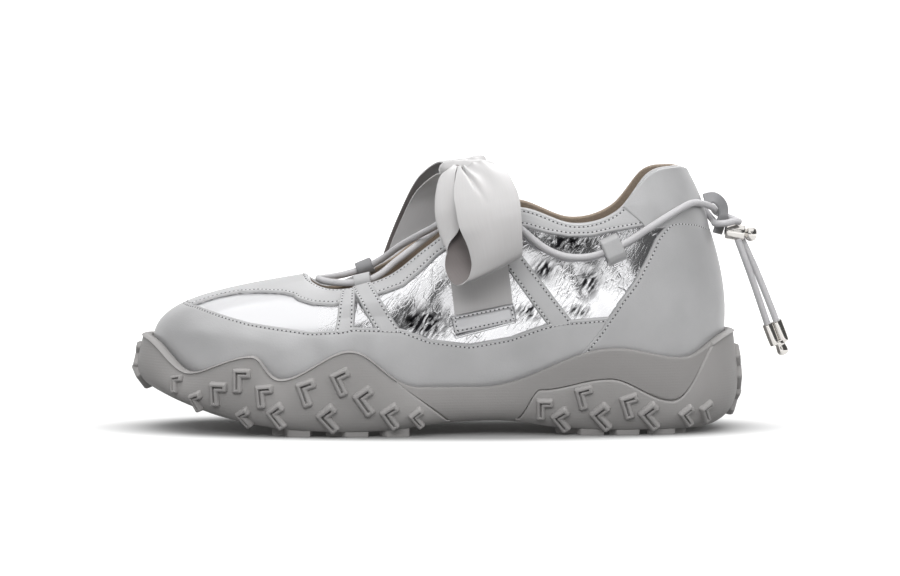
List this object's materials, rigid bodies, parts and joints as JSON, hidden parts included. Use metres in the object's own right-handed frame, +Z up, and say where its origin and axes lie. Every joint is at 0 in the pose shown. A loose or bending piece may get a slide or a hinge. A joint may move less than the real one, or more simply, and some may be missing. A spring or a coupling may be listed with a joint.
{
  "type": "casual shoe",
  "caption": "Low casual shoe with a silver leather upper, open throat, elastic lace with a cord lock at the heel, a ribbon bow over the instep and a lugged rubber sole.",
  "frame": {"origin": "on the floor under the middle of the shoe's box, its free lace end left out", "axes": "+Z up, +X along the sole towards the heel, -Y towards the outer side of the foot"},
  "size_m": [0.2867, 0.109, 0.1193],
  "materials": {
    "silver_leather": "crinkled silver foil",
    "grey_leather": "smooth satin",
    "sole_rubber": "matte",
    "sole_foam": "matte moulded foam",
    "lining": "brushed",
    "ribbon": "satin",
    "cord": "braided elastic",
    "chrome": "polished"
  },
  "bodies": {
    "root": {"bow_knot": "ribbon", "bow_loop_inner": "ribbon", "bow_loop_outer": "ribbon", "cord_lock": "chrome", "cord_tip": "chrome", "heel_counter": "grey_leather", "heel_loop": "grey_leather", "heel_tab": "grey_leather", "insole": "lining", "lace_side_inner": "cord", "lace_side_outer": "cord", "lace_tail_inner": "cord", "lace_tail_outer": "cord", "lace_throat": "cord", "midsole": "sole_foam", "mudguard": "grey_leather", "outsole_front": "sole_rubber", "outsole_heel": "sole_rubber", "ribbon_patch_inner": "silver_leather", "ribbon_patch_outer": "silver_leather", "ribbon_strap_inner": "ribbon", "ribbon_strap_outer": "ribbon", "side_loop_inner": "grey_leather", "side_loop_outer": "grey_leather", "strap_back_inner": "grey_leather", "strap_back_outer": "grey_leather", "strap_front_inner": "grey_leather", "strap_front_outer": "grey_leather", "strap_loop_inner": "grey_leather", "strap_loop_outer": "grey_leather", "throat_loop_inner": "grey_leather", "throat_loop_outer": "grey_leather", "topline_binding": "grey_leather", "upper": "silver_leather", "vamp_strip": "grey_leather"}
  },
  "joints": []
}
